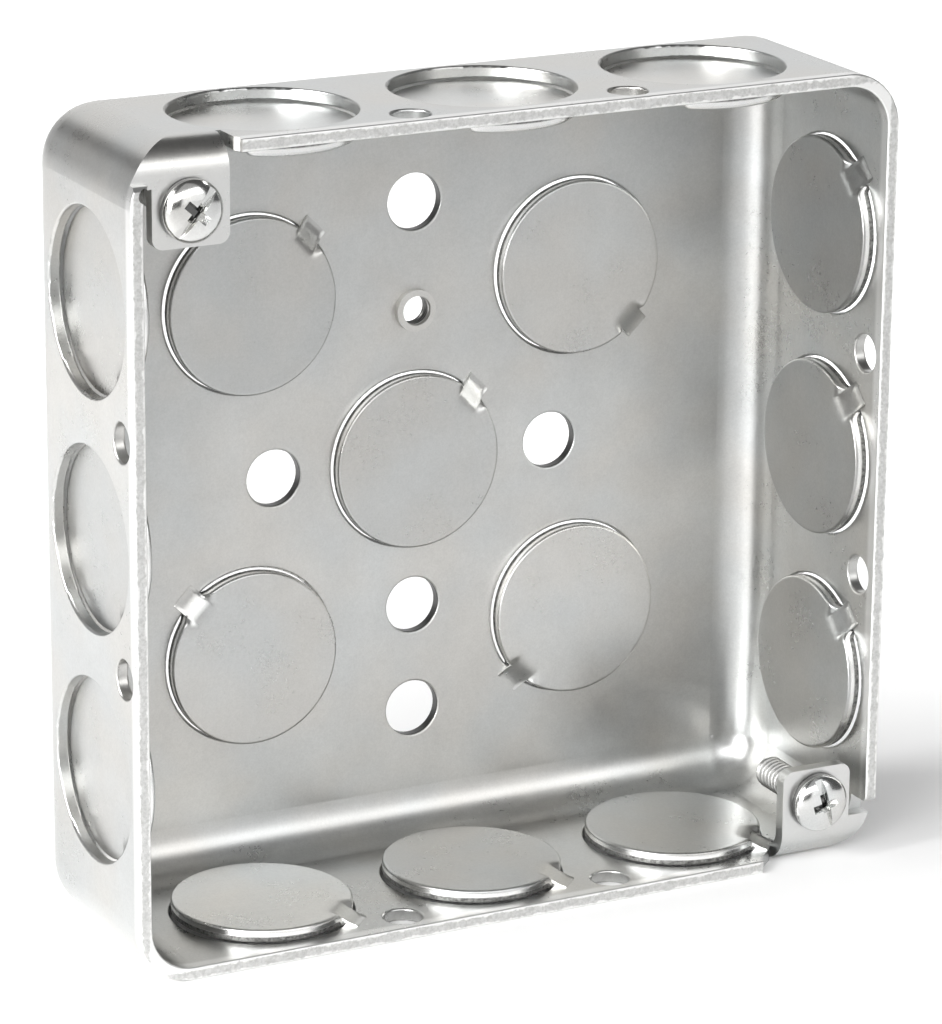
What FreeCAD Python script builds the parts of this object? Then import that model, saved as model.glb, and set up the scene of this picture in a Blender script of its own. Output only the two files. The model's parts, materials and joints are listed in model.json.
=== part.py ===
import FreeCAD, Part
import math
import os

# A square drawn-steel electrical junction box that stands on its bottom wall.
# Frame: origin at the centre of the back panel's outer face, +Z up, +X right,
# and the open front faces -Y. All sizes are in millimetres.

V = FreeCAD.Vector

# The drawn shell
HALF_WIDTH = 50.8            # half of the 4 inch square outside
DEPTH = 31.75                # 1 1/4 inch from the back face to the rim
SHEET = 1.6                  # sheet thickness
CORNER_R = 7.1               # outside radius of every drawn edge
RIM_BREAK = 0.25             # small round on the trimmed rim

# Knockouts, all for 1/2 inch trade fittings
HOLE_R = 11.3
SLUG_R = 11.15
SHEAR_ROUND = 0.3            # roll-over round on sheared edges
SLUG_LIFT = 0.02             # gap between a raised slug and the panel it left
TIE_WIDTH = 3.4
TIE_REACH = 1.2              # how far a tie lies on the panel beyond its hole
TIE_TIP = 0.4                # thickness of the tie where it bends
BACK_SPACING = 22.55         # back knockout centres, from the axes
ROW_SPACING = 28.8           # centre to centre along a side wall
ROW_DEPTH = 18.3             # side knockout centres, from the back face
TOP_ROW_SHIFT = 0.6          # the top row sits slightly to the right
LEFT_ROW_SHIFT = 1.3         # the left row sits slightly high

# Plain holes
MOUNT_HOLE_R = 3.6
MOUNT_HOLE_OUTER = 33.0
MOUNT_HOLE_INNER = 19.2
NAIL_HOLE_R = 2.4
NAIL_HOLE_FROM_RIM = 3.7

# Tapped grounding hole with its extruded collar
GROUND_Z = 19.3
GROUND_HOLE_R = 1.95
GROUND_COLLAR_R = 2.65
GROUND_COLLAR_HEIGHT = 0.8

# Cover screw ears, folded in from the top and bottom walls
EAR_FACE = 1.4               # recess of the ear's face behind the rim
EAR_NEAR = 37.9              # ear sides, from the centre
EAR_FAR = 47.6
EAR_TIP = 38.5               # free end, from the centre
EAR_TIP_R = 1.4
EAR_BEND_R = 4.0             # outside radius of the fold
EAR_SHOULDER = 45.7          # beyond this the ear widens to meet the corner
SLIT = 0.6                   # gap between the ear and the rim beside it
LOWER_RELIEF = 2.9           # how far the bottom rim is cut back beside its ear
LOWER_RELIEF_DEPTH = 2.7
LOWER_RIM_END = 43.7         # where the right wall's rim stops, below its middle
UPPER_RELIEF = 0.4           # the same on the top rim and the left wall
UPPER_RELIEF_DEPTH = 0.8
UPPER_RIM_END = 46.4
RIM_STEP = 0.8               # square end of a cut-back rim
SIDE_RELIEF = 0.5            # eased corner at the end of a side wall's rim
SIDE_RELIEF_DEPTH = 3.4      # how deep the right wall is cut between its rim and the ear
PUNCH_R = 0.9                # round relief beside the upper ear
PUNCH_X = 48.9
PUNCH_Z = 45.3

# Cover screws, 8-32
SCREW_AT = 42.9              # screw axes, from the centre both ways
SCREW_R = 2.05
SCREW_HOLE_R = 2.12
SCREW_LENGTH = 12.7
SCREW_TIP_CHAMFER = 0.6
HEAD_R = 3.75
HEAD_EDGE = 0.9              # straight part of the head's side
HEAD_HEIGHT = 2.3
HEAD_GAP = 0.05
SLOT_WIDTH = 1.1
SLOT_DEPTH = 1.0
CROSS_SPAN = 4.3
CROSS_WIDTH = 1.2
CROSS_DEPTH = 1.6
CROSS_TAPER = 0.35           # the cross's width at its bottom over its width at the top
UPPER_SCREW_TURN = 48.0      # where each screw's slot happens to point
LOWER_SCREW_TURN = 104.0

BEYOND = 5.0                 # how far cutting tools overshoot


def local_placement(origin, u, n):
    """Placement that carries local x to u and local z to n."""
    t = n.cross(u)
    matrix = FreeCAD.Matrix(
        u.x, t.x, n.x, origin.x,
        u.y, t.y, n.y, origin.y,
        u.z, t.z, n.z, origin.z,
        0, 0, 0, 1)
    return FreeCAD.Placement(matrix)


def placed(shape, placement):
    copy = shape.copy()
    copy.Placement = placement.multiply(copy.Placement)
    return copy


def revolved(points_and_arcs):
    """Solid of revolution about local z from line and arc edges in the xz plane."""
    wire = Part.Wire(points_and_arcs)
    return Part.Face(wire).revolve(V(0, 0, 0), V(0, 0, 1), 360)


def line(a, b):
    return Part.LineSegment(V(*a), V(*b)).toShape()


def arc(a, middle, b):
    return Part.Arc(V(*a), V(*middle), V(*b)).toShape()


def extruded(points, along):
    """Extrude the closed polygon through the given points."""
    corners = [V(*point) for point in points]
    edges = [line(corners[i - 1], corners[i]) for i in range(len(corners))]
    return Part.Face(Part.Wire(edges)).extrude(V(*along))


def edges_along_y(shape):
    """Straight edges that run from back to front."""
    found = []
    for edge in shape.Edges:
        a, b = edge.Vertexes[0].Point, edge.Vertexes[-1].Point
        if abs(a.x - b.x) < 1e-6 and abs(a.z - b.z) < 1e-6 and abs(a.y - b.y) > 1:
            found.append(edge)
    return found


def edges_in_plane(shape, y):
    """Edges that lie in the plane at the given y."""
    found = []
    for edge in shape.Edges:
        if all(abs(vertex.Point.y - y) < 1e-6 for vertex in edge.Vertexes):
            found.append(edge)
    return found


def square_block(half, back, front):
    return Part.makeBox(2 * half, back - front, 2 * half, V(-half, front, -half))


def round_backed_block(half, back, front, radius):
    """Square block with its long edges and its back edges rounded."""
    block = square_block(half, back, front)
    return block.makeFillet(radius, edges_along_y(block) + edges_in_plane(block, back))


def round_cornered_block(half, back, front, radius):
    """Square block with only its long edges rounded."""
    block = square_block(half, back, front)
    return block.makeFillet(radius, edges_along_y(block))


def drawn_cup():
    outside = round_backed_block(HALF_WIDTH, 0, -DEPTH - BEYOND, CORNER_R)
    inside = round_backed_block(HALF_WIDTH - SHEET, -SHEET, -DEPTH - 2 * BEYOND, CORNER_R - SHEET)
    cup = outside.cut(inside)
    trim = Part.makeBox(200, 50, 200, V(-100, -DEPTH - 50, -100))
    cup = cup.cut(trim)
    return cup.makeFillet(RIM_BREAK, edges_in_plane(cup, -DEPTH))


def hole_tool(radius, thickness, rounding):
    """Cutter for a hole whose two edges are rounded. Local z 0 is the inner face."""
    r, f, t = radius, rounding, thickness
    k = f * (1 - math.sqrt(0.5))
    edges = [
        line((0, 0, BEYOND), (r + f, 0, BEYOND)),
        line((r + f, 0, BEYOND), (r + f, 0, 0)),
        arc((r + f, 0, 0), (r + k, 0, -k), (r, 0, -f)),
        line((r, 0, -f), (r, 0, f - t)),
        arc((r, 0, f - t), (r + k, 0, k - t), (r + f, 0, -t)),
        line((r + f, 0, -t), (r + f, 0, -t - BEYOND)),
        line((r + f, 0, -t - BEYOND), (0, 0, -t - BEYOND)),
        line((0, 0, -t - BEYOND), (0, 0, BEYOND)),
    ]
    return revolved(edges)


def knockout_slug():
    """Raised slug with its tie. Local z 0 is the panel's inner face and x points to the tie."""
    r, f = SLUG_R, SHEAR_ROUND
    low = SLUG_LIFT
    high = SLUG_LIFT + SHEET
    k = f * (1 - math.sqrt(0.5))
    disc = revolved([
        line((0, 0, low), (r - f, 0, low)),
        arc((r - f, 0, low), (r - k, 0, low + k), (r, 0, low + f)),
        line((r, 0, low + f), (r, 0, high - f)),
        arc((r, 0, high - f), (r - k, 0, high - k), (r - f, 0, high)),
        line((r - f, 0, high), (0, 0, high)),
        line((0, 0, high), (0, 0, low)),
    ])
    tip = hinge_reach()
    root = r - 2.0
    crest = r - 0.9
    side = -TIE_WIDTH / 2
    outline = [
        (root, side, low),
        (tip, side, low),
        (tip, side, low + TIE_TIP),
        (crest, side, high),
        (root, side, high),
    ]
    tie = extruded(outline, (0, TIE_WIDTH, 0))
    return disc.fuse(tie).removeSplitter()


def hinge_reach():
    """Distance from a knockout's centre to the line where its tie bends."""
    return HOLE_R + TIE_REACH


def knockouts():
    """Name, centre on the inner face, direction to the tie and inward normal."""
    diagonal = math.sqrt(0.5)
    sites = []
    back = [
        ("upper_left", -1, 1, (1, 1)),
        ("upper_right", 1, 1, (1, -1)),
        ("centre", 0, 0, (1, 1)),
        ("lower_left", -1, -1, (-1, 1)),
        ("lower_right", 1, -1, (-1, -1)),
    ]
    for place, x, z, tie in back:
        centre = V(x * BACK_SPACING, -SHEET, z * BACK_SPACING)
        sites.append(("back_knockout_" + place, centre, V(tie[0], 0, tie[1]) * diagonal, V(0, -1, 0)))
    face = HALF_WIDTH - SHEET
    walls = [
        ("top", ("left", "middle", "right"), V(1, 0, 0), V(0, 0, face), TOP_ROW_SHIFT, V(-1, -1, 0)),
        ("bottom", ("left", "middle", "right"), V(1, 0, 0), V(0, 0, -face), 0, V(1, -1, 0)),
        ("left", ("lower", "middle", "upper"), V(0, 0, 1), V(-face, 0, 0), LEFT_ROW_SHIFT, V(0, -1, -1)),
        ("right", ("lower", "middle", "upper"), V(0, 0, 1), V(face, 0, 0), 0, V(0, -1, 1)),
    ]
    for wall, places, along, middle, shift, tie in walls:
        for step, place in zip((-1, 0, 1), places):
            centre = middle + along * (step * ROW_SPACING + shift) + V(0, -ROW_DEPTH, 0)
            inward = middle * (-1 / face)
            sites.append((wall + "_knockout_" + place, centre, tie * diagonal, inward))
    return sites


def plain_holes():
    """Radius, centre on the inner face, and inward normal of each unthreaded hole."""
    holes = []
    spots = [(0, MOUNT_HOLE_OUTER), (0, -MOUNT_HOLE_OUTER), (0, -MOUNT_HOLE_INNER)]
    spots += [(-MOUNT_HOLE_INNER, 0), (MOUNT_HOLE_INNER, 0)]
    for x, z in spots:
        holes.append((MOUNT_HOLE_R, V(x, -SHEET, z), V(0, -1, 0)))
    face = HALF_WIDTH - SHEET
    y = NAIL_HOLE_FROM_RIM - DEPTH
    for side in (-0.5, 0.5):
        step = side * ROW_SPACING
        holes.append((NAIL_HOLE_R, V(step + TOP_ROW_SHIFT, y, face), V(0, 0, -1)))
        holes.append((NAIL_HOLE_R, V(step, y, -face), V(0, 0, 1)))
        holes.append((NAIL_HOLE_R, V(-face, y, step + LEFT_ROW_SHIFT), V(1, 0, 0)))
        holes.append((NAIL_HOLE_R, V(face, y, step), V(-1, 0, 0)))
    return holes


def fold_edges():
    """Outer outline of the lower ear in the yz plane: along its face, then round the fold."""
    front = EAR_FACE - DEPTH
    start = front + EAR_BEND_R
    centre_z = EAR_BEND_R - HALF_WIDTH
    s = EAR_BEND_R * math.sqrt(0.5)
    face = line((0, front, -EAR_TIP), (0, front, centre_z))
    fold = arc((0, front, centre_z), (0, start - s, centre_z - s), (0, start, -HALF_WIDTH))
    return [face, fold]


def folded_ear():
    """The lower right ear with its fold, whose root runs into the corner of the box."""
    front = EAR_FACE - DEPTH
    start = front + EAR_BEND_R
    centre_z = EAR_BEND_R - HALF_WIDTH
    inner_r = EAR_BEND_R - SHEET
    s = inner_r * math.sqrt(0.5)
    outline = fold_edges() + [
        line((0, start, -HALF_WIDTH), (0, start, SHEET - HALF_WIDTH)),
        arc((0, start, SHEET - HALF_WIDTH), (0, start - s, centre_z - s), (0, front + SHEET, centre_z)),
        line((0, front + SHEET, centre_z), (0, front + SHEET, -EAR_TIP)),
        line((0, front + SHEET, -EAR_TIP), (0, front, -EAR_TIP)),
    ]
    ear = Part.Face(Part.Wire(outline))
    ear.translate(V(EAR_NEAR, 0, 0))
    ear = ear.extrude(V(HALF_WIDTH - EAR_NEAR, 0, 0))
    shoulder = Part.makeBox(BEYOND, DEPTH, 2 * BEYOND, V(EAR_FAR, -DEPTH, -EAR_SHOULDER))
    ear = ear.cut(shoulder).common(round_cornered_block(HALF_WIDTH, 0, -DEPTH, CORNER_R))
    tips = []
    for edge in edges_along_y(ear):
        if abs(edge.Vertexes[0].Point.z + EAR_TIP) < 1e-6:
            tips.append(edge)
    return ear.makeFillet(EAR_TIP_R, tips)


def rim_notch(relief, relief_depth, rim_end):
    """Cutter that frees the lower right ear from the rims of the bottom and right walls."""
    front = -DEPTH - BEYOND
    back = EAR_FACE - DEPTH + EAR_BEND_R
    slit = EAR_NEAR - SLIT
    beyond = HALF_WIDTH + BEYOND
    step = RIM_STEP - DEPTH
    beside_ear = extruded([
        (slit - relief, front, -beyond),
        (slit - relief, step, -beyond),
        (slit, step + relief_depth, -beyond),
        (slit, back, -beyond),
        (EAR_NEAR, back, -beyond),
        (EAR_NEAR, front, -beyond),
    ], (0, 0, beyond - EAR_SHOULDER))
    ahead_of_fold = Part.Face(Part.Wire(fold_edges() + [
        line((0, back, -HALF_WIDTH), (0, back, -beyond)),
        line((0, back, -beyond), (0, front, -beyond)),
        line((0, front, -beyond), (0, front, -EAR_TIP)),
        line((0, front, -EAR_TIP), (0, EAR_FACE - DEPTH, -EAR_TIP)),
    ]))
    ahead_of_fold.translate(V(EAR_NEAR, 0, 0))
    ahead_of_fold = ahead_of_fold.extrude(V(beyond - EAR_NEAR, 0, 0))
    ahead_of_fold = ahead_of_fold.cut(Part.makeBox(
        beyond, DEPTH, HALF_WIDTH, V(EAR_NEAR, front, -rim_end)))
    ease = extruded([
        (EAR_FAR, front, -rim_end - SIDE_RELIEF),
        (EAR_FAR, front, SIDE_RELIEF - rim_end),
        (EAR_FAR, -DEPTH, SIDE_RELIEF - rim_end),
        (EAR_FAR, SIDE_RELIEF - DEPTH, -rim_end),
        (EAR_FAR, SIDE_RELIEF - DEPTH, -rim_end - SIDE_RELIEF),
    ], (beyond - EAR_FAR, 0, 0))
    return beside_ear.fuse([ahead_of_fold, ease])


def lower_side_cut():
    """Cutter for the deeper step in the right wall between its rim and the ear's root."""
    return Part.makeBox(BEYOND * 2, SIDE_RELIEF_DEPTH + BEYOND, EAR_SHOULDER - LOWER_RIM_END,
                        V(EAR_FAR, -DEPTH - BEYOND, -EAR_SHOULDER))


def upper_punch():
    """Cutter for the round relief between the upper ear's root and the left wall's rim."""
    return Part.makeCylinder(PUNCH_R, SIDE_RELIEF_DEPTH + BEYOND,
                             V(-PUNCH_X, -DEPTH - BEYOND, PUNCH_Z), V(0, 1, 0))


def turned_half_round(shape):
    copy = shape.copy()
    copy.rotate(V(0, 0, 0), V(0, 1, 0), 180)
    return copy


def box_shell():
    shell = drawn_cup()
    upper_notch = turned_half_round(rim_notch(UPPER_RELIEF, UPPER_RELIEF_DEPTH, UPPER_RIM_END))
    shell = shell.cut([rim_notch(LOWER_RELIEF, LOWER_RELIEF_DEPTH, LOWER_RIM_END), upper_notch])
    ear = folded_ear()
    shell = shell.fuse([ear, turned_half_round(ear)])
    shell = shell.cut([lower_side_cut(), upper_punch()])
    for name, centre, tie, inward in knockouts():
        tool = hole_tool(HOLE_R, SHEET, SHEAR_ROUND)
        shell = shell.cut(placed(tool, local_placement(centre, tie, inward)))
    for radius, centre, inward in plain_holes():
        across = V(0, 0, 1) if abs(inward.z) < 0.5 else V(1, 0, 0)
        tool = hole_tool(radius, SHEET, SHEAR_ROUND)
        shell = shell.cut(placed(tool, local_placement(centre, across, inward)))
    collar = Part.makeCylinder(GROUND_COLLAR_R, GROUND_COLLAR_HEIGHT + SHEET / 2,
                               V(0, -SHEET / 2, GROUND_Z), V(0, -1, 0))
    shell = shell.fuse(collar)
    shell = shell.cut(Part.makeCylinder(GROUND_HOLE_R, 4 * SHEET, V(0, SHEET, GROUND_Z), V(0, -1, 0)))
    for side in (1, -1):
        bore = Part.makeCylinder(SCREW_HOLE_R, 2 * BEYOND,
                                 V(side * SCREW_AT, -DEPTH - BEYOND, -side * SCREW_AT), V(0, 1, 0))
        shell = shell.cut(bore)
    return shell.removeSplitter()


def cover_screw(turn):
    """Pan-head screw with a combined slot and cross recess. Local z 0 is under the head, +z the head."""
    dome_r = (HEAD_R ** 2 + (HEAD_HEIGHT - HEAD_EDGE) ** 2) / (2 * (HEAD_HEIGHT - HEAD_EDGE))
    dome_low = HEAD_HEIGHT - dome_r
    half = math.asin(HEAD_R / dome_r) / 2
    dome_mid = (dome_r * math.sin(half), 0, dome_low + dome_r * math.cos(half))
    c = SCREW_TIP_CHAMFER
    body = revolved([
        line((0, 0, HEAD_HEIGHT), (0, 0, -SCREW_LENGTH)),
        line((0, 0, -SCREW_LENGTH), (SCREW_R - c, 0, -SCREW_LENGTH)),
        line((SCREW_R - c, 0, -SCREW_LENGTH), (SCREW_R, 0, c - SCREW_LENGTH)),
        line((SCREW_R, 0, c - SCREW_LENGTH), (SCREW_R, 0, 0)),
        line((SCREW_R, 0, 0), (HEAD_R, 0, 0)),
        line((HEAD_R, 0, 0), (HEAD_R, 0, HEAD_EDGE)),
        arc((HEAD_R, 0, HEAD_EDGE), dome_mid, (0, 0, HEAD_HEIGHT)),
    ])
    slot = Part.makeBox(2 * HEAD_R + 2, SLOT_WIDTH, SLOT_DEPTH + 1,
                        V(-HEAD_R - 1, -SLOT_WIDTH / 2, HEAD_HEIGHT - SLOT_DEPTH))
    body = body.cut(slot)
    s = CROSS_SPAN / 2
    w = -CROSS_WIDTH / 2
    for angle in (0, 90):
        blade = extruded([
            (-s, w, HEAD_HEIGHT),
            (s, w, HEAD_HEIGHT),
            (s * CROSS_TAPER, w, HEAD_HEIGHT - CROSS_DEPTH),
            (-s * CROSS_TAPER, w, HEAD_HEIGHT - CROSS_DEPTH),
        ], (0, CROSS_WIDTH, 0))
        blade.rotate(V(0, 0, 0), V(0, 0, 1), angle)
        body = body.cut(blade)
    body.rotate(V(0, 0, 0), V(0, 0, 1), turn)
    return body.removeSplitter()


def write(name, shape):
    solids = shape.Solids
    if len(solids) != 1 or not shape.isValid():
        raise RuntimeError(name + " is not one valid solid")
    solids[0].exportStep("parts/" + name + ".step")
    print(name, round(solids[0].Volume, 1))


os.makedirs("parts", exist_ok=True)
write("box_shell", box_shell())
for slug_name, slug_centre, slug_tie, slug_inward in knockouts():
    write(slug_name, placed(knockout_slug(), local_placement(slug_centre, slug_tie, slug_inward)))
under_head = EAR_FACE - DEPTH - HEAD_GAP
for place, side, turn in (("upper_left", -1, UPPER_SCREW_TURN), ("lower_right", 1, LOWER_SCREW_TURN)):
    seat = V(side * SCREW_AT, under_head, -side * SCREW_AT)
    facing_out = local_placement(seat, V(1, 0, 0), V(0, -1, 0))
    write("cover_screw_" + place, placed(cover_screw(turn), facing_out))
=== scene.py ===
import json
import math
import random

import bmesh
import bpy
from mathutils import Matrix, Vector


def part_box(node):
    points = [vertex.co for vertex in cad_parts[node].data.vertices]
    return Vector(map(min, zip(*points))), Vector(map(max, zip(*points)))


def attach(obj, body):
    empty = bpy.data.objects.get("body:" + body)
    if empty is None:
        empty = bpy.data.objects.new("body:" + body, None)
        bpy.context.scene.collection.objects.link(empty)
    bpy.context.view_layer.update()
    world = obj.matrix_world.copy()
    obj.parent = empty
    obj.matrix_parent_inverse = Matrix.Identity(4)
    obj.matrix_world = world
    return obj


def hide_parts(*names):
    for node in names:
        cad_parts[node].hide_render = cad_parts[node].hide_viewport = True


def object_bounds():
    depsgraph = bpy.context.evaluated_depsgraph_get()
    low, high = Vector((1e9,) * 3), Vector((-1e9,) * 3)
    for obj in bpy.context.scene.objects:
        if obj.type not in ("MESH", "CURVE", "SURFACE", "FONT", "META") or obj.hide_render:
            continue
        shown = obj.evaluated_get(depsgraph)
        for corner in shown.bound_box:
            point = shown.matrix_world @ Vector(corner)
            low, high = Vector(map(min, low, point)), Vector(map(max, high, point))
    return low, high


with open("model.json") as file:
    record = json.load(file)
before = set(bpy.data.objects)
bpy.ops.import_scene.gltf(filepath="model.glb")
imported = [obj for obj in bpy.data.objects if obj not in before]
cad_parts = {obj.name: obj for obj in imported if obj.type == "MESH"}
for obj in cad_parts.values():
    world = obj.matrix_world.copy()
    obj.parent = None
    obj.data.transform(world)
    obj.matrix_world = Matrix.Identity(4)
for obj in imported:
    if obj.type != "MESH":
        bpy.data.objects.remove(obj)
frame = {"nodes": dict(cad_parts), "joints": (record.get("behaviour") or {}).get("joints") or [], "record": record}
cad_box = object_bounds()
joints = {joint["name"]: joint for joint in frame["joints"]}
MM = 0.001


# Small helpers


def smooth_step(value, low, high):
    t = min(max((value - low) / (high - low), 0.0), 1.0)
    return t * t * (3 - 2 * t)


def mesh_object(name, bm, sharp_degrees=38):
    """Turn a bmesh into an object with smooth shading between its sharp edges."""
    bmesh.ops.recalc_face_normals(bm, faces=bm.faces)
    for face in bm.faces:
        face.smooth = True
    for edge in bm.edges:
        edge.smooth = edge.is_manifold and edge.calc_face_angle(0.0) < math.radians(sharp_degrees)
    mesh = bpy.data.meshes.new(name)
    bm.to_mesh(mesh)
    bm.free()
    obj = bpy.data.objects.new(name, mesh)
    bpy.context.scene.collection.objects.link(obj)
    return obj


def columns_to_bmesh(columns, closed_top, closed_bottom):
    """Skin a ring of point columns. Each column runs from one pole to the other."""
    bm = bmesh.new()
    rings = [[bm.verts.new(point) for point in column] for column in columns]
    top = bm.verts.new(closed_top)
    bottom = bm.verts.new(closed_bottom)
    for a, b in zip(rings, rings[1:] + rings[:1]):
        bm.faces.new((top, a[0], b[0]))
        bm.faces.new((bottom, b[-1], a[-1]))
        for i in range(len(a) - 1):
            bm.faces.new((a[i], a[i + 1], b[i + 1], b[i]))
    return bm


# Materials

SHEET = 1.6 * MM
SHEET_TONE = (0.56, 0.56, 0.55)
SHEET_ROUGHNESS = 0.30
SLUG_TONE = (0.55, 0.55, 0.54)
ZINC_GRAIN = 0.006 * MM      # height of the finest bumps in the zinc
GRAIN_SCALE = 4200           # noise scales, the finest first
ROLLED_SCALE = (60, 2600, 2600)
SPECK_SCALE = 1500
CRYSTAL_SCALE = 420
MOTTLE_SCALE = 110
TINT_SCALE = 75
BROAD_SCALE = 28
WARM = (1.0, 0.985, 0.965)
COOL = (0.975, 0.99, 1.0)
# painted light on the ears
EAR_PAINTED_LIGHT = (0.74, 0.74, 0.73)
EAR_DEPTH = 1.2 * MM         # everything this close behind the rim gets painted light, which brightens the ears
PANEL_SHADE = 0.85           # painted shade: the share of its tone that the back panel keeps at its top and at its left
PANEL_ROUGHER = 0.07
# painted shade for the walls of the back panel's holes
HOLE_PAINTED_SHADE = (0.09, 0.09, 0.088)
RIM_SKIN = 0.08 * MM         # depth of the trimmed rim's own look
RIM_MIDDLE_DARK = (0.52, 0.52, 0.51)
RIM_MIDDLE_LIGHT = (0.66, 0.66, 0.65)
# painted highlight along the rim's two edges
RIM_EDGE_HIGHLIGHT = (0.86, 0.86, 0.85)
RIM_EDGE_STARTS = 0.40 * MM  # where the painted edge highlights begin and are full, as distances from the middle of the rim
RIM_EDGE_FULL = 0.58 * MM
RIM_WANDER = 0.22 * MM
RIM_ROUGHER = 0.15
BURNISHED_BAND = (0.30, 0.45)  # where each band fades in, by the sheared mark
TORN_BAND = (0.62, 0.72)
# the torn band's tone: the darker fracture zone plus painted shade of the crevice against the panel
TORN_AND_SHADE_DARK = (0.08, 0.08, 0.078)
TORN_AND_SHADE_LIGHT = (0.32, 0.32, 0.31)
TORN_ROUGHER = 0.30
# the burnished band's real brightness, raised by a painted highlight
BURNISH_AND_HIGHLIGHT_TONE = (0.86, 0.86, 0.85)
BURNISHED_SMOOTHER = 0.10
SCREW_TONE = (0.74, 0.74, 0.73)
SCREW_ROUGHNESS = 0.17
SCREW_GRAIN = 0.002 * MM
# painted shade on the side of the screw heads, where they sit on the ears
HEAD_SIDE_PAINTED_SHADE = (0.13, 0.13, 0.128)
SHANK_TONE = (0.40, 0.40, 0.39)
SHANK_ROUGHER = 0.18


class Nodes:
    """A node tree with short calls for adding and joining nodes."""

    def __init__(self, name):
        self.material = bpy.data.materials.new(name)
        self.material.use_nodes = True
        self.tree = self.material.node_tree
        self.shader = self.tree.nodes["Principled BSDF"]

    def add(self, kind, **settings):
        node = self.tree.nodes.new(kind)
        for key, value in settings.items():
            setattr(node, key, value)
        return node

    def join(self, output, target):
        self.tree.links.new(output, target)

    def object_place(self):
        return self.add("ShaderNodeTexCoord").outputs["Object"]

    def stretched(self, place, scale):
        mapping = self.add("ShaderNodeMapping")
        mapping.inputs["Scale"].default_value = scale
        self.join(place, mapping.inputs["Vector"])
        return mapping.outputs["Vector"]

    def noise(self, place, scale, detail=3.0, roughness=0.55):
        node = self.add("ShaderNodeTexNoise")
        node.inputs["Scale"].default_value = scale
        node.inputs["Detail"].default_value = detail
        node.inputs["Roughness"].default_value = roughness
        self.join(place, node.inputs["Vector"])
        return node.outputs["Fac"]

    def spread(self, value, low, high, out_low=0.0, out_high=1.0):
        node = self.add("ShaderNodeMapRange", clamp=True)
        self.join(value, node.inputs["Value"])
        node.inputs["From Min"].default_value = low
        node.inputs["From Max"].default_value = high
        node.inputs["To Min"].default_value = out_low
        node.inputs["To Max"].default_value = out_high
        return node.outputs["Result"]

    def maths(self, operation, a, b=None):
        node = self.add("ShaderNodeMath", operation=operation)
        for socket, value in zip(node.inputs, (a, b)):
            if isinstance(value, (int, float)):
                socket.default_value = value
            elif value is not None:
                self.join(value, socket)
        return node.outputs["Value"]

    def blend(self, amount, a, b, mode="MIX"):
        node = self.add("ShaderNodeMix", data_type="RGBA", blend_type=mode)
        for index, value in ((0, amount), (6, a), (7, b)):
            socket = node.inputs[index]
            if isinstance(value, (int, float)):
                socket.default_value = value
            elif isinstance(value, tuple):
                socket.default_value = (*value, 1.0)
            else:
                self.join(value, socket)
        return node.outputs[2]

    def parts(self, vector):
        """The x, y and z of a vector."""
        split = self.add("ShaderNodeSeparateXYZ")
        self.join(vector, split.inputs["Vector"])
        return split.outputs

    def scaled(self, colour, factor):
        """Multiply a colour by a number that varies over the surface."""
        node = self.add("ShaderNodeVectorMath", operation="SCALE")
        self.join(colour, node.inputs["Vector"])
        self.join(factor, node.inputs["Scale"])
        return node.outputs["Vector"]

    def rougher(self, rough, mask, amount):
        """Add to the roughness where the mask is 1."""
        return self.maths("ADD", rough, self.maths("MULTIPLY", mask, amount))

    def finish(self, colour, rough, normal):
        """Join a metal's colour, roughness and normal to its shader."""
        self.join(colour, self.shader.inputs["Base Color"])
        self.join(rough, self.shader.inputs["Roughness"])
        self.join(normal, self.shader.inputs["Normal"])
        self.shader.inputs["Metallic"].default_value = 1.0
        return self.material

    def bump(self, height, strength, distance, normal=None):
        node = self.add("ShaderNodeBump")
        node.inputs["Strength"].default_value = strength
        node.inputs["Distance"].default_value = distance
        self.join(height, node.inputs["Height"])
        if normal is not None:
            self.join(normal, node.inputs["Normal"])
        return node.outputs["Normal"]


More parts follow.
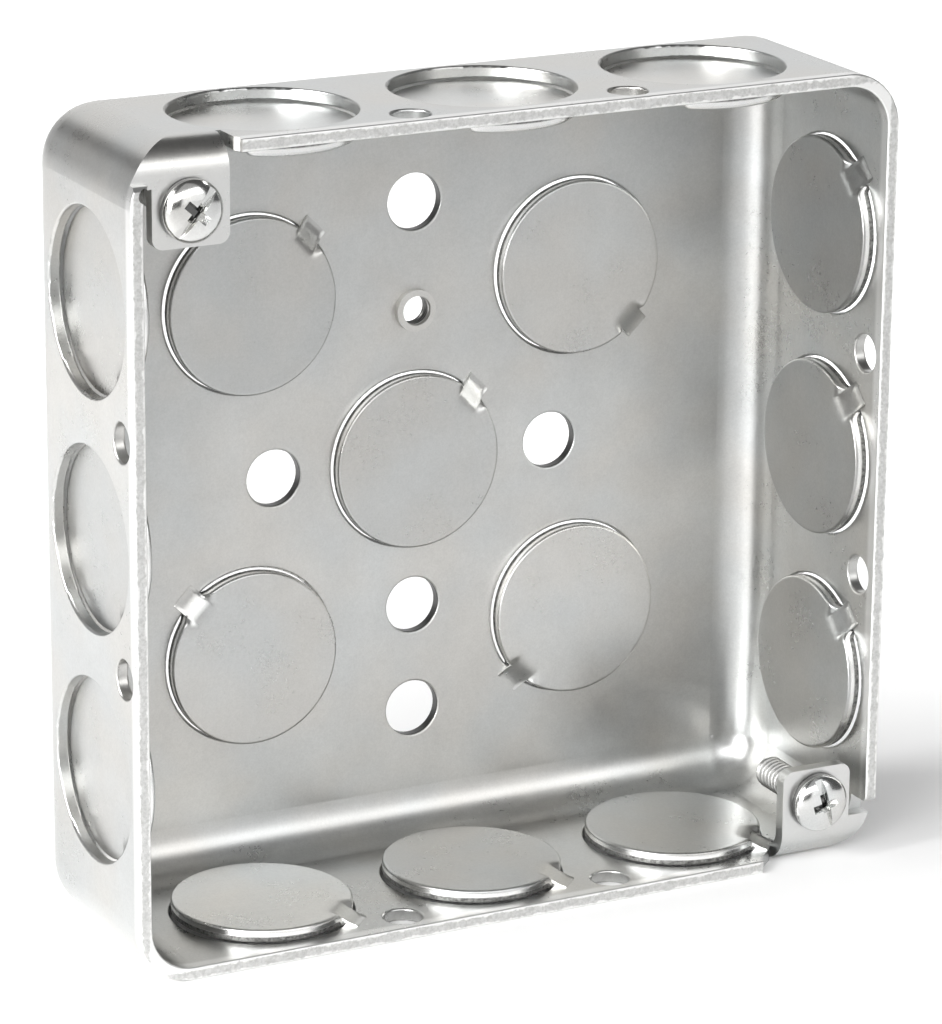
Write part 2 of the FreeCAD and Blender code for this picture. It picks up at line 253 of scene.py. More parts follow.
def zinc_surface(nodes, tone, roughness, grain_depth):
    """The common galvanised look: fine grain, soft mottling and a faint crystal pattern."""
    place = nodes.object_place()
    grain = nodes.noise(place, GRAIN_SCALE, 2.0, 0.6)
    speck = nodes.noise(place, SPECK_SCALE, 4.0, 0.7)
    mottle = nodes.noise(place, MOTTLE_SCALE, 4.0, 0.6)
    tint = nodes.noise(place, TINT_SCALE, 2.0, 0.5)
    rolled = nodes.noise(nodes.stretched(place, ROLLED_SCALE), 1.0, 3.0, 0.6)
    crystal = nodes.add("ShaderNodeTexVoronoi", feature="SMOOTH_F1")
    crystal.inputs["Scale"].default_value = CRYSTAL_SCALE
    crystal.inputs["Smoothness"].default_value = 0.35
    nodes.join(place, crystal.inputs["Vector"])
    crystal_tone = nodes.spread(crystal.outputs["Color"], 0.0, 1.0)

    dark = tuple(channel * 0.93 for channel in tone)
    light = tuple(min(channel * 1.05, 0.95) for channel in tone)
    colour = nodes.blend(nodes.spread(mottle, 0.3, 0.72), dark, light)
    colour = nodes.blend(nodes.spread(crystal_tone, 0.2, 0.8, 0.0, 0.06), colour, dark)
    fine_grain = nodes.maths("MULTIPLY", grain, 0.55)
    fine_speck = nodes.maths("MULTIPLY", speck, 0.45)
    speckled = nodes.spread(nodes.maths("ADD", fine_grain, fine_speck), 0.36, 0.64, 0.94, 1.05)
    colour = nodes.scaled(colour, speckled)
    hue = nodes.blend(nodes.spread(tint, 0.38, 0.62), WARM, COOL)
    colour = nodes.blend(1.0, colour, hue, "MULTIPLY")

    rough = nodes.spread(mottle, 0.3, 0.7, roughness - 0.03, roughness + 0.03)
    rough = nodes.maths("ADD", rough, nodes.spread(speck, 0.35, 0.65, -0.02, 0.02))

    broad = nodes.bump(nodes.noise(place, BROAD_SCALE, 2.0, 0.4), 1.0, 0.14 * MM)
    brushed = nodes.bump(rolled, 0.2, 0.006 * MM, broad)
    fine = nodes.bump(nodes.maths("ADD", grain, speck), 0.35, grain_depth, brushed)
    return place, colour, rough, fine


def panel_painted_shade(nodes, colour, x, z, on_panel):
    """Paint shade on the back panel towards its top and its left, a tone gradient that stands in for how the light
    falls.
    """
    towards_top = nodes.spread(z, -15 * MM, 45 * MM, 1.0, PANEL_SHADE)
    towards_left = nodes.spread(x, -25 * MM, -45 * MM, 1.0, PANEL_SHADE)
    painted_shade = nodes.maths("MULTIPLY", towards_top, towards_left)
    return nodes.blend(on_panel, colour, nodes.scaled(colour, painted_shade))


def paint_hole_wall_shade(nodes, colour, y):
    """Paint shade on the sheared walls of the holes in the back panel."""
    facing = nodes.parts(nodes.add("ShaderNodeNewGeometry").outputs["True Normal"])["Y"]
    sideways = nodes.spread(nodes.maths("ABSOLUTE", facing), 0.6, 0.4)
    in_panel = nodes.spread(y, -0.97 * SHEET, -0.93 * SHEET)
    return nodes.blend(nodes.maths("MULTIPLY", sideways, in_panel), colour, HOLE_PAINTED_SHADE)


def rim_colour(nodes, place, x, z, grit):
    """The trimmed rim: a scored middle between two painted highlights along its edges that wander a little."""
    half = (cad_box[1].x - cad_box[0].x) / 2
    reach = nodes.maths("MAXIMUM", nodes.maths("ABSOLUTE", x), nodes.maths("ABSOLUTE", z))
    inward = nodes.maths("SUBTRACT", half, reach)
    from_middle = nodes.maths("ABSOLUTE", nodes.maths("SUBTRACT", inward, SHEET / 2))
    wander = nodes.spread(nodes.noise(place, 900, 4.0, 0.6), 0.3, 0.7, -RIM_WANDER, RIM_WANDER)
    # mask of the painted highlights along the rim's edges
    edge = nodes.spread(nodes.maths("ADD", from_middle, wander), RIM_EDGE_STARTS, RIM_EDGE_FULL)
    middle = nodes.blend(nodes.spread(grit, 0.35, 0.62), RIM_MIDDLE_DARK, RIM_MIDDLE_LIGHT)
    return nodes.blend(edge, middle, RIM_EDGE_HIGHLIGHT)


def galvanised_sheet():
    """The box's sheet: painted shade on the back panel's top and left and on its hole walls, painted light on the
    ears, and a scored rim with painted edge highlights.
    """
    nodes = Nodes("galvanised_sheet")
    place, colour, rough, normal = zinc_surface(nodes, SHEET_TONE, SHEET_ROUGHNESS, ZINC_GRAIN)
    x, y, z = nodes.parts(place)
    rim_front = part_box("box_shell")[0].y
    on_rim = nodes.spread(y, rim_front + 2 * RIM_SKIN, rim_front + RIM_SKIN)
    on_panel = nodes.spread(y, -SHEET - 1.0 * MM, -SHEET - 0.2 * MM)
    on_ear = nodes.spread(y, rim_front + 1.5 * EAR_DEPTH, rim_front + EAR_DEPTH)
    # painted shade on the back panel's top and left
    colour = panel_painted_shade(nodes, colour, x, z, on_panel)
    # painted light: the ears are painted brighter than the rest of the sheet
    colour = nodes.blend(on_ear, colour, EAR_PAINTED_LIGHT)
    # painted shade on the hole walls
    colour = paint_hole_wall_shade(nodes, colour, y)
    grit = nodes.noise(place, 2600, 3.0, 0.6)
    # the scored rim with its painted edge highlights
    colour = nodes.blend(on_rim, colour, rim_colour(nodes, place, x, z, grit))
    rough = nodes.rougher(rough, on_panel, PANEL_ROUGHER)
    rough = nodes.rougher(rough, on_rim, RIM_ROUGHER)
    rim_height = nodes.maths("MULTIPLY", grit, on_rim)
    return nodes.finish(colour, rough, nodes.bump(rim_height, 0.35, 0.02 * MM, normal))


def galvanised_slug():
    """As the sheet, with each slug's painted light and shade, a bright burnished band with a painted highlight and
    a darker torn band with painted shade on the sheared side.
    """
    nodes = Nodes("galvanised_slug")
    place, colour, rough, normal = zinc_surface(nodes, SLUG_TONE, SHEET_ROUGHNESS, ZINC_GRAIN)
    # the finish attribute holds each slug's painted light and shade
    finish = nodes.add("ShaderNodeAttribute", attribute_name="finish").outputs["Fac"]
    sheared = nodes.add("ShaderNodeAttribute", attribute_name="sheared").outputs["Fac"]
    burnished = nodes.spread(sheared, *BURNISHED_BAND)
    torn = nodes.spread(sheared, *TORN_BAND)
    streaks = nodes.noise(place, 2400, 4.0, 0.7)
    torn_and_shade_tone = nodes.blend(nodes.spread(streaks, 0.35, 0.6), TORN_AND_SHADE_DARK, TORN_AND_SHADE_LIGHT)
    # painted light and shade for each slug
    colour = nodes.scaled(colour, finish)
    # burnished band: partly real burnish, partly a painted highlight
    colour = nodes.blend(burnished, colour, BURNISH_AND_HIGHLIGHT_TONE)
    # torn band: partly the real fracture zone, partly painted shade of the crevice
    colour = nodes.blend(torn, colour, torn_and_shade_tone)
    rough = nodes.rougher(rough, burnished, -BURNISHED_SMOOTHER)
    rough = nodes.rougher(rough, torn, TORN_ROUGHER)
    return nodes.finish(colour, rough, normal)


def plated_screw():
    """Bright plating, with painted shade on the side of the head, and dull on the shank."""
    nodes = Nodes("plated_screw")
    place, colour, rough, normal = zinc_surface(nodes, SCREW_TONE, SCREW_ROUGHNESS, SCREW_GRAIN)
    y = nodes.parts(place)["Y"]
    seat = joints["cover_screw_upper_left_turn"]["pos_m"][1]
    on_side = nodes.spread(y, seat - 0.90 * MM, seat - 0.78 * MM)
    on_shank = nodes.spread(y, seat + 0.6 * MM, seat + 1.2 * MM)
    # painted shade on the head's side
    colour = nodes.blend(on_side, colour, HEAD_SIDE_PAINTED_SHADE)
    colour = nodes.blend(on_shank, colour, SHANK_TONE)
    return nodes.finish(colour, nodes.rougher(rough, on_shank, SHANK_ROUGHER), normal)


# The knockout slugs

SLUG_R = 11.15 * MM
HOLE_R = 11.25 * MM
SLUG_LIFT = 0.02 * MM        # gap between a raised slug and the panel it left
ROLL = 0.34 * MM             # rolled-over upper corner of the sheared edge
BURR = 0.10 * MM             # small round at its lower corner
TIE_HALF = 1.7 * MM          # half of the tie's width
TIE_FLARE = 1.02             # how much wider the tie is at its foot
TIE_FEATHER = 0.45 * MM      # how far the tie thins out on the panel beyond its hinge
TIE_SKIN = 0.015 * MM        # the tie's thickness where it ends
TIP_HEIGHT = 0.05 * MM
RAMP_LENGTH = 2.3 * MM       # how far inside the slug's edge the ramp to the tie begins
RAMP_HALF = 1.5 * MM         # half width of the ramp before its sides rise
RAMP_UNDERCUT = 1.5 * MM     # how far the slug's underside sinks towards the tie
TIE_FOOT = 0.37 * MM         # how far outside the hole's edge the tie's underside leaves the panel
TIE_ROOT = 0.32 * MM         # depths of the tie's root in the hole: its front and its back
TIE_ROOT_BACK = 0.4 * MM
CROWN_RANGE = (0.01, 0.04)   # in millimetres, drawn for each slug
RAMP_SIDE_RANGE = (0.5, 0.65)
SHEARED_START = 0.36         # the sheared mark at the top of the side; it is 1 at the bottom
FACE_RINGS = (0.25, 0.5, 0.7, 0.8, 0.86, 0.90, 0.93, 0.955)
EDGE_POINTS = 22
ROLL_POINTS = 8
TIE_POINTS = 13
TIE_COLUMNS = 6              # on each side of the tie's middle
BESIDE_TIE = 0.0008          # turns between the profile columns, in radians
FIRST_STEP = 0.02
STEP_GROWTH = 1.25
WIDEST_STEP = 0.065
LAST_STEP = 0.03


def slug_frame(node):
    """Matrix from a slug's own frame, which has x to the tie, z inward and its origin on the
    panel's inner face, and the distance to the tie's hinge."""
    low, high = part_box(node)
    centre = (low + high) / 2
    size = high - low
    thin = min(range(3), key=lambda axis: size[axis])
    middle = (cad_box[0] + cad_box[1]) / 2
    inward = Vector((0, 0, 0))
    inward[thin] = math.copysign(1, middle[thin] - centre[thin])
    pivot = Vector(joints[node + "_tie"]["pos_m"])
    origin = centre.copy()
    origin[thin] = pivot[thin]
    tie = (pivot - origin).normalized()
    side = inward.cross(tie)
    matrix = Matrix((tie, side, inward)).transposed().to_4x4()
    matrix.translation = origin
    return matrix, (pivot - origin).length


def slug_angles():
    """Each profile column's direction and whether it is on the tie, closest together near the tie."""
    tie_angle = math.asin(TIE_HALF / SLUG_R)
    angles = [(tie_angle * i / TIE_COLUMNS, True) for i in range(-TIE_COLUMNS, TIE_COLUMNS + 1)]
    beside = tie_angle + BESIDE_TIE
    here = beside
    step = FIRST_STEP
    while here < 2 * math.pi - beside:
        angles.append((here, False))
        here += step
        step = min(step * STEP_GROWTH, WIDEST_STEP)
        if here > 2 * math.pi - 5 * tie_angle:
            step = LAST_STEP
    angles.append((2 * math.pi - beside, False))
    return angles


def slug_mesh(name, tip, lean, seed):
    """A slug in its own frame: a slightly crowned disc whose face and back sink to the tie."""
    chance = random.Random(seed)
    crown = chance.uniform(*CROWN_RANGE) * MM
    side_width = chance.uniform(*RAMP_SIDE_RANGE) * MM

    def sink(u, v):
        off = max(abs(v) - RAMP_HALF, 0) / side_width
        return smooth_step(u, SLUG_R - RAMP_LENGTH, tip + TIE_FEATHER) * math.exp(-off * off)

    def face_height(u, v):
        r = math.hypot(u, v)
        level = SLUG_LIFT + SHEET + crown * (1 - min(r / SLUG_R, 1) ** 2) + lean * (SLUG_R - u)
        return level + (TIP_HEIGHT - level) * sink(u, v)

    def back_height(u, v):
        return SLUG_LIFT + lean * (SLUG_R - u) - RAMP_UNDERCUT * sink(u, v)

    inner = [SLUG_R * share for share in FACE_RINGS]
    columns = []
    for angle, on_tie in slug_angles():
        c, s = math.cos(angle), math.sin(angle)
        column = [(r * c, r * s, face_height(r * c, r * s)) for r in inner]
        if on_tie:
            column += tie_outline(c, s, tip, face_height, back_height)
        else:
            column += edge_outline(c, s, face_height, back_height)
        column += [(r * c, r * s, back_height(r * c, r * s)) for r in reversed(inner)]
        columns.append(column)
    bm = columns_to_bmesh(columns, (0, 0, face_height(0, 0)), (0, 0, back_height(0, 0)))
    piece = mesh_object(name, bm)
    mark_sheared_side(piece, columns)
    return piece


def mark_sheared_side(piece, columns):
    """Store how far down the sheared side each point lies: 0 on the faces, 1 at the torn bottom."""
    sheared = piece.data.attributes.new("sheared", "FLOAT", "POINT")
    first = len(FACE_RINGS) + ROLL_POINTS - 2
    last = len(FACE_RINGS) + EDGE_POINTS - ROLL_POINTS
    index = 0
    for column, (_, on_tie) in zip(columns, slug_angles()):
        for place in range(len(column)):
            down = (place - first - 1) / (EDGE_POINTS - 2 * ROLL_POINTS + 1)
            on_side = first <= place <= last and not on_tie
            sheared.data[index].value = SHEARED_START + (1 - SHEARED_START) * down if on_side else 0.0
            index += 1


def edge_outline(c, s, face_height, back_height):
    """The sheared edge: a rolled-over upper corner, a straight wall and a small lower corner."""
    points = []
    quarter = [math.pi / 2 * i / (ROLL_POINTS - 1) for i in range(ROLL_POINTS)]
    for a in quarter:
        r = SLUG_R - ROLL + ROLL * math.sin(a)
        points.append((r, face_height(r * c, r * s) - ROLL * (1 - math.cos(a))))
    top = points[-1][1]
    bottom = back_height(SLUG_R * c, SLUG_R * s) + BURR
    walls = EDGE_POINTS - 2 * ROLL_POINTS + 2
    for i in range(1, walls - 1):
        points.append((SLUG_R, top + (bottom - top) * i / (walls - 1)))
    for a in quarter:
        points.append((SLUG_R - BURR + BURR * math.cos(a), bottom - BURR * math.sin(a)))
    return [(r * c, r * s, n) for r, n in points]


def tie_outline(c, s, tip, face_height, back_height):
    """The tie's section: down the ramp to its tip, back along the panel and under the slug."""
    start = SLUG_R - ROLL
    end = tip + TIE_FEATHER
    side = start * s
    points = []
    for i in range(TIE_POINTS):
        t = i / (TIE_POINTS - 1)
        u = start * c + (end - start * c) * t
        v = side * (1 + (TIE_FLARE - 1) * t)
        points.append((u, v, max(face_height(u, v), SLUG_LIFT + TIE_SKIN)))
    points[-1] = (*points[-1][:2], SLUG_LIFT + TIE_SKIN)
    for u in (end, (end + tip) / 2, (tip + HOLE_R) / 2, HOLE_R + TIE_FOOT):
        points.append((u, side * TIE_FLARE, SLUG_LIFT))
    points.append((HOLE_R, side * TIE_FLARE, -TIE_ROOT))
    points.append((HOLE_R, side * TIE_FLARE, min(back_height(HOLE_R, 0), -TIE_ROOT_BACK)))
    left = EDGE_POINTS - len(points)
    for i in range(1, left + 1):
        u = HOLE_R + (start * c - HOLE_R) * i / (left + 1)
        points.append((u, side, back_height(u, side)))
    return points


# Painted light and shade: how bright each slug is painted, as a share of the slug tone, standing in for how the
# light falls on each
SLUG_PAINTED_LIGHT_AND_SHADE = {
    "back_knockout_upper_left": 0.85, "back_knockout_upper_right": 0.93, "back_knockout_centre": 0.90,
    "back_knockout_lower_left": 0.93, "back_knockout_lower_right": 1.02,
    "top_knockout_left": 1.16, "top_knockout_middle": 1.20, "top_knockout_right": 1.18,
    "bottom_knockout_left": 1.34, "bottom_knockout_middle": 0.96, "bottom_knockout_right": 0.86,
    "left_knockout_upper": 0.93, "left_knockout_middle": 0.90, "left_knockout_lower": 1.0,
    "right_knockout_upper": 0.70, "right_knockout_middle": 0.74, "right_knockout_lower": 0.82,
}

# How far the slugs of each wall lean, as a slope
LEAN = {"top": 0.004, "bottom": 0.006, "left": 0.004, "right": 0.010, "back": 0.004}


def build_slugs(material):
    slugs = [node for node in sorted(frame["nodes"]) if "_knockout_" in node]
    for seed, node in enumerate(slugs):
        matrix, tip = slug_frame(node)
        chance = random.Random(100 + seed)
        lean = LEAN[node.split("_")[0]] * chance.uniform(0.6, 1.4)
        piece = slug_mesh(node + "_slug", tip, lean, seed)
        # each slug's painted light and shade, stored in the finish attribute
        finish = piece.data.attributes.new("finish", "FLOAT", "POINT")
        finish.data.foreach_set("value", [SLUG_PAINTED_LIGHT_AND_SHADE[node]] * len(piece.data.vertices))
        piece.data.transform(matrix)
        piece.data.materials.append(material)
        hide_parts(node)
        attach(piece, node)


# The cover screws, in millimetres until they are put in their place

HEAD_GAP = 0.05              # under the head
HEAD_SIDE = 0.75             # straight part of the head's side
HEAD_BREAK = 0.12            # its lower corner
DOME_WIDTH_POWER = 0.72      # how full the dome is
DOME_HEIGHT_POWER = 1.1
DOME_STEPS = 16
HEAD_POINTS = 96
RECESS_ABOVE = 0.5           # how far the cutters stand above the head
SLOT_WIDTH = 1.15
SLOT_DEPTH = 0.85
CROSS_SPAN = 4.2
CROSS_WIDTH = 1.1
CROSS_DEPTH = 1.8
SLOT_FLOOR = (1.0, 0.85)     # shares of the length and the width that the recesses keep at their floor
CROSS_FLOOR = (0.35, 0.75)
HEAD_WEAR = 0.08             # worn edges of the recess
SHANK_CREST = 2.05
SHANK_ROOT = 1.62
SHANK_TAPER = 1.0            # length of the tapered tip
SHANK_TIP_SHARE = 0.28       # how much thinner the shank is at its tip
SHANK_POINTS = 40
STEPS_PER_THREAD = 10
THREAD_PITCH = 25.4 / 32
THREAD_FLANK = (0.12, 0.88)  # where the thread's flank starts and ends between root and crest
SLOT_TURNS = {"cover_screw_upper_left": 48.0, "cover_screw_lower_right": 104.0}


def screw_head_mesh(name, radius, height):
    """A pan head without its recess, its underside on z = 0."""
    profile = [(radius * 0.5, 0.0), (radius - HEAD_BREAK, 0.0)]
    profile += [(radius, HEAD_BREAK), (radius, HEAD_SIDE)]
    for i in range(1, DOME_STEPS):
        a = math.pi / 2 * i / DOME_STEPS
        r = radius * math.cos(a) ** DOME_WIDTH_POWER
        profile.append((r, HEAD_SIDE + (height - HEAD_SIDE) * math.sin(a) ** DOME_HEIGHT_POWER))
    columns = []
    for j in range(HEAD_POINTS):
        a = 2 * math.pi * j / HEAD_POINTS
        columns.append([(r * math.cos(a), r * math.sin(a), n) for r, n in profile])
    return mesh_object(name, columns_to_bmesh(columns, (0, 0, 0), (0, 0, height)))


def tapered_bar(name, length, width, top, bottom, length_share, width_share):
    """A bar between two heights. Its lower end is smaller by the given shares."""
    bm = bmesh.new()
    rings = []
    for z, long_share, wide_share in ((top, 1.0, 1.0), (bottom, length_share, width_share)):
        x = length / 2 * long_share
        y = width / 2 * wide_share
        rings.append([bm.verts.new((i * x, j * y, z)) for i, j in ((-1, -1), (1, -1), (1, 1), (-1, 1))])
    bm.faces.new(rings[0])
    bm.faces.new(reversed(rings[1]))
    for i in range(4):
        k = (i + 1) % 4
        bm.faces.new((rings[0][i], rings[1][i], rings[1][k], rings[0][k]))
    return mesh_object(name, bm)


def cut(piece, cutter):
    modifier = piece.modifiers.new("cut", "BOOLEAN")
    modifier.operation = "DIFFERENCE"
    modifier.solver = "EXACT"
    modifier.object = cutter
    apply_modifiers(piece)
    bpy.data.objects.remove(cutter)


def apply_modifiers(piece):
    graph = bpy.context.evaluated_depsgraph_get()
    made = bpy.data.meshes.new_from_object(piece.evaluated_get(graph))
    piece.modifiers.clear()
    piece.data = made


def thread_radius(z, turn, root, crest):
    """Radius of a threaded surface at a height and a share of a turn."""
    ridge = 1 - abs(((z / THREAD_PITCH - turn) % 1.0) * 2 - 1)
    return root + (crest - root) * smooth_step(ridge, *THREAD_FLANK)


def shank_mesh(name, length):
    """The threaded shank, hanging from z = 0 with a tapered tip."""
    steps = int(length / THREAD_PITCH * STEPS_PER_THREAD)
    columns = []
    for j in range(SHANK_POINTS):
        a = 2 * math.pi * j / SHANK_POINTS
        column = []
        for i in range(steps + 1):
            z = -length * i / steps
            r = thread_radius(z, j / SHANK_POINTS, SHANK_ROOT, SHANK_CREST)
            r *= 1 - SHANK_TIP_SHARE * smooth_step(-z, length - SHANK_TAPER, length)
            column.append((r * math.cos(a), r * math.sin(a), z))
        columns.append(column)
    return mesh_object(name, columns_to_bmesh(columns, (0, 0, 0), (0, 0, -length)), 60)


def join_pieces(first, second):
    bm = bmesh.new()
    bm.from_mesh(first.data)
    bm.from_mesh(second.data)
    bm.to_mesh(first.data)
    bm.free()
    bpy.data.objects.remove(second)


def recessed_head(name, radius, height):
    """The pan head with its slot and its cross recess, its edges slightly worn."""
    above = height + RECESS_ABOVE
    head = screw_head_mesh(name, radius, height)
    cut(head, tapered_bar("slot", 2 * radius + 2, SLOT_WIDTH, above, height - SLOT_DEPTH, *SLOT_FLOOR))
    for quarter in (0, 1):
        bar = tapered_bar("cross", CROSS_SPAN, CROSS_WIDTH, above, height - CROSS_DEPTH, *CROSS_FLOOR)
        bar.data.transform(Matrix.Rotation(quarter * math.pi / 2, 4, "Z"))
        cut(head, bar)
    edge = head.modifiers.new("edge", "BEVEL")
    edge.width = HEAD_WEAR
    edge.segments = 2
    edge.limit_method = "ANGLE"
    edge.angle_limit = math.radians(32)
    apply_modifiers(head)
    return head


def build_screws(material):
    for node, turn in SLOT_TURNS.items():
        low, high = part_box(node)
        seat = Vector(joints[node + "_turn"]["pos_m"])
        radius = (high.x - low.x) / 2
        under = seat.y - HEAD_GAP * MM
        head = recessed_head(node + "_head", radius / MM, (under - low.y) / MM)
        join_pieces(head, shank_mesh("shank", (high.y - under) / MM))
        for face in head.data.polygons:
            face.use_smooth = True
        facing = Matrix(((1, 0, 0), (0, 0, -1), (0, 1, 0))).to_4x4()
        facing.translation = (seat.x, under, seat.z)
        head.data.transform(facing @ Matrix.Rotation(math.radians(turn), 4, "Z") @ Matrix.Scale(MM, 4))
        head.data.materials.clear()
        head.data.materials.append(material)
        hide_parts(node)
        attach(head, node)


# The thread in the grounding hole, in millimetres

SLEEVE_BACK = 0.05           # depths from the back face
SLEEVE_FRONT = 2.35
SLEEVE_OUTER = 1.98
SLEEVE_ROOT = 1.94
SLEEVE_CREST = 1.82
SLEEVE_POINTS = 40


def build_ground_thread(material):
    """A tapped sleeve that lines the collared hole above the centre knockout."""
    mounts = {mount["name"]: mount for mount in frame["record"]["mounts"]}
    x, y, z = [value / MM for value in mounts["ground_hole"]["pos_m"]]
    bm = bmesh.new()
    columns = []
    for j in range(SLEEVE_POINTS):
        share = j / SLEEVE_POINTS
        c, s = math.cos(2 * math.pi * share), math.sin(2 * math.pi * share)
        column = []
        for i in range(SLEEVE_POINTS + 1):
            depth = SLEEVE_BACK + (SLEEVE_FRONT - SLEEVE_BACK) * i / SLEEVE_POINTS
            column.append((thread_radius(depth, share, SLEEVE_ROOT, SLEEVE_CREST), depth))
        column += [(SLEEVE_OUTER, SLEEVE_FRONT), (SLEEVE_OUTER, SLEEVE_BACK)]
        columns.append([bm.verts.new((x + r * c, -depth, z + r * s)) for r, depth in column])
    for a, b in zip(columns, columns[1:] + columns[:1]):
        for i in range(len(a)):
            bm.faces.new((a[i - 1], a[i], b[i], b[i - 1]))
    sleeve = mesh_object("ground_thread", bm, 60)
    sleeve.data.transform(Matrix.Scale(MM, 4))
    sleeve.data.materials.append(material)
    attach(sleeve, "box_shell")


# Stage, light and camera

FLOOR_HALF = 6.0
FLOOR_GAP = 0.02 * MM
FLOOR_DARK = (0.945, 0.945, 0.945)
FLOOR_LIGHT = (0.965, 0.965, 0.965)
FLOOR_MOTTLE_SCALE = 30
FLOOR_ROUGHNESS = 0.7


def build_floor():
    bm = bmesh.new()
    bmesh.ops.create_grid(bm, x_segments=1, y_segments=1, size=FLOOR_HALF)
    floor = mesh_object("floor", bm)
    floor.location.z = cad_box[0].z - FLOOR_GAP
    nodes = Nodes("pale_floor")
    mottle = nodes.noise(nodes.object_place(), FLOOR_MOTTLE_SCALE)
    tone = nodes.blend(nodes.spread(mottle, 0.3, 0.7), FLOOR_DARK, FLOOR_LIGHT)
    nodes.join(tone, nodes.shader.inputs["Base Color"])
    nodes.shader.inputs["Roughness"].default_value = FLOOR_ROUGHNESS
    floor.data.materials.append(nodes.material)


def area_light(name, place, target, size, power, spread_degrees):
    data = bpy.data.lights.new(name, "AREA")
    data.shape = "RECTANGLE"
    data.size, data.size_y = size
    data.energy = power
    data.spread = math.radians(spread_degrees)
    light = bpy.data.objects.new(name, data)
    light.location = place
    light.rotation_euler = (Vector(target) - Vector(place)).to_track_quat("-Z", "Y").to_euler()
    bpy.context.scene.collection.objects.link(light)


# Soft boxes round the object: azimuth of the middle and half width in degrees, lowest and highest
# height on the unit sphere, and brightness. Azimuth 0 is +X and 90 is +Y.
SOFT_BOXES = {
    "left front strip": (212, 12, 0.0, 0.30, 14.6),
    "left": (190, 30, 0.30, 0.65, 5.8),
    "front left": (240, 20, 0.30, 0.65, 3.6),
    "front": (285, 25, 0.30, 0.65, 2.5),
    "low front": (288, 22, 0.0, 0.30, 1.1),
    "low right": (17, 23, 0.0, 0.30, 0.15),
    "low back right": (62, 22, 0.0, 0.30, 0.95),
    "low back": (107, 23, 0.0, 0.30, 0.47),
    "right": (25, 25, 0.30, 0.65, 0.2),
    "back": (75, 25, 0.30, 0.65, 1.0),
    "overhead front": (270, 45, 0.65, 1.10, 0.34),
}
ROOM_GLOW = 0.10
SOFT_BOX_EDGE = 0.06

# Each light's place, target, size, watts and spread in degrees. The floor boxes lift the floor towards
# white. They aim straight down but for a hair, which settles how they are turned.
AREA_LIGHTS = {
    "left_box": ((-0.55, 0.05, 0.40), (-0.13, 0.03, -0.05), (0.35, 0.35), 0.56, 60),
    "floor_box": ((-0.22, 0.24, 0.45), (-0.22, 0.2401, 0.0), (0.20, 0.20), 0.11, 45),
    "floor_box_right": ((0.27, 0.14, 0.30), (0.27, 0.1401, 0.0), (0.24, 0.24), 0.36, 50),
    "floor_box_back": ((0.18, 0.52, 0.50), (0.18, 0.5201, 0.0), (0.50, 0.20), 0.45, 60),
}

# The camera, fitted to the photograph: place in millimetres, turns in radians
CAMERA_PLACE = (-261.14, -522.23, 175.35)
CAMERA_YAW = -0.47739
CAMERA_PITCH = -0.30327
CAMERA_ROLL = 0.00835
CAMERA_LENS = 171.2
CAMERA_SENSOR = 36


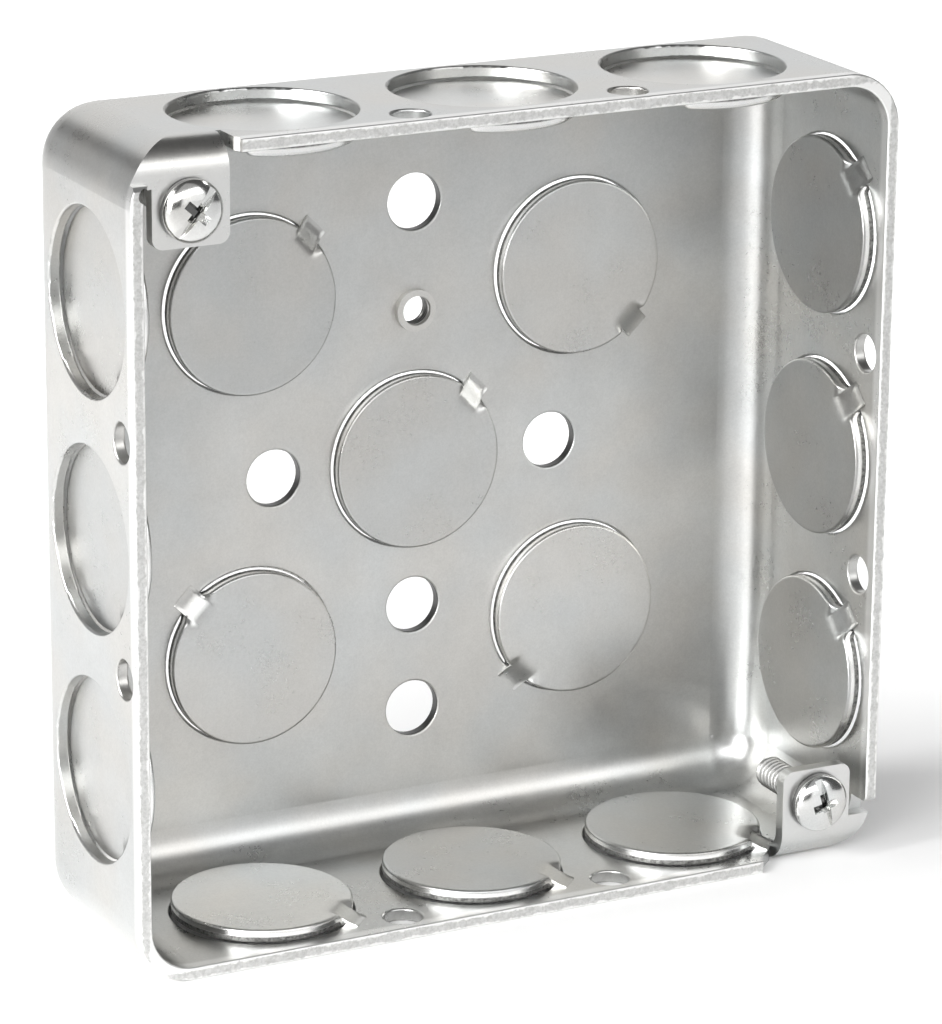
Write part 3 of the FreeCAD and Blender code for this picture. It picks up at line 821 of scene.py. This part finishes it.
def build_world():
    """A studio of soft boxes on the horizon and in front. The camera itself sees plain white."""
    world = bpy.data.worlds.new("studio")
    world.use_nodes = True
    tree = world.node_tree
    background = tree.nodes["Background"]

    def maths(operation, *values):
        node = tree.nodes.new("ShaderNodeMath")
        node.operation = operation
        for socket, value in zip(node.inputs, values):
            if isinstance(value, (int, float)):
                socket.default_value = value
            else:
                tree.links.new(value, socket)
        return node.outputs["Value"]

    def soft_edge(value, low, high):
        node = tree.nodes.new("ShaderNodeMapRange")
        node.interpolation_type = "SMOOTHSTEP"
        tree.links.new(value, node.inputs["Value"])
        node.inputs["From Min"].default_value = low
        node.inputs["From Max"].default_value = high
        return node.outputs["Result"]

    direction = tree.nodes.new("ShaderNodeTexCoord").outputs["Generated"]
    split = tree.nodes.new("ShaderNodeSeparateXYZ")
    tree.links.new(direction, split.inputs["Vector"])
    x, y, z = split.outputs
    glow = ROOM_GLOW
    soft = SOFT_BOX_EDGE
    for azimuth, half_width, low, high, brightness in SOFT_BOXES.values():
        c, s = math.cos(math.radians(azimuth)), math.sin(math.radians(azimuth))
        along = maths("ADD", maths("MULTIPLY", x, c), maths("MULTIPLY", y, s))
        across = maths("SUBTRACT", maths("MULTIPLY", y, c), maths("MULTIPLY", x, s))
        turn = maths("ABSOLUTE", maths("ARCTAN2", across, along))
        edge = math.radians(half_width)
        inside = soft_edge(turn, edge + soft, edge - soft)
        inside = maths("MULTIPLY", inside, soft_edge(z, low - soft / 2, low + soft / 2))
        inside = maths("MULTIPLY", inside, soft_edge(z, high + soft / 2, high - soft / 2))
        glow = maths("ADD", maths("MULTIPLY", inside, brightness), glow)
    seen = tree.nodes.new("ShaderNodeLightPath").outputs["Is Camera Ray"]
    lit = maths("MULTIPLY", glow, maths("SUBTRACT", 1.0, seen))
    tree.links.new(maths("ADD", lit, seen), background.inputs["Strength"])
    background.inputs["Color"].default_value = (1.0, 1.0, 1.0, 1.0)
    bpy.context.scene.world = world


def build_light():
    build_world()
    for name, light in AREA_LIGHTS.items():
        area_light(name, *light)


def build_camera():
    data = bpy.data.cameras.new("camera")
    camera = bpy.data.objects.new("camera", data)
    bpy.context.scene.collection.objects.link(camera)
    level = math.cos(CAMERA_PITCH)
    sideways = -math.sin(CAMERA_YAW)
    ahead = Vector((sideways * level, math.cos(CAMERA_YAW) * level, math.sin(CAMERA_PITCH)))
    across = ahead.cross(Vector((0, 0, 1))).normalized()
    above = across.cross(ahead)
    right = across * math.cos(CAMERA_ROLL) + above * math.sin(CAMERA_ROLL)
    up = above * math.cos(CAMERA_ROLL) - across * math.sin(CAMERA_ROLL)
    matrix = Matrix((right, up, -ahead)).transposed().to_4x4()
    matrix.translation = Vector(CAMERA_PLACE) * MM
    camera.matrix_world = matrix
    data.sensor_width = CAMERA_SENSOR
    data.lens = CAMERA_LENS
    data.clip_start = 0.01
    data.clip_end = 50
    bpy.context.scene.camera = camera


bpy.context.scene.view_settings.view_transform = "Standard"
build_camera()
sheet_material = galvanised_sheet()
shell = frame["nodes"]["box_shell"]
shell.data.materials.clear()
shell.data.materials.append(sheet_material)
build_slugs(galvanised_slug())
build_screws(plated_screw())
build_ground_thread(sheet_material)
build_floor()
build_light()
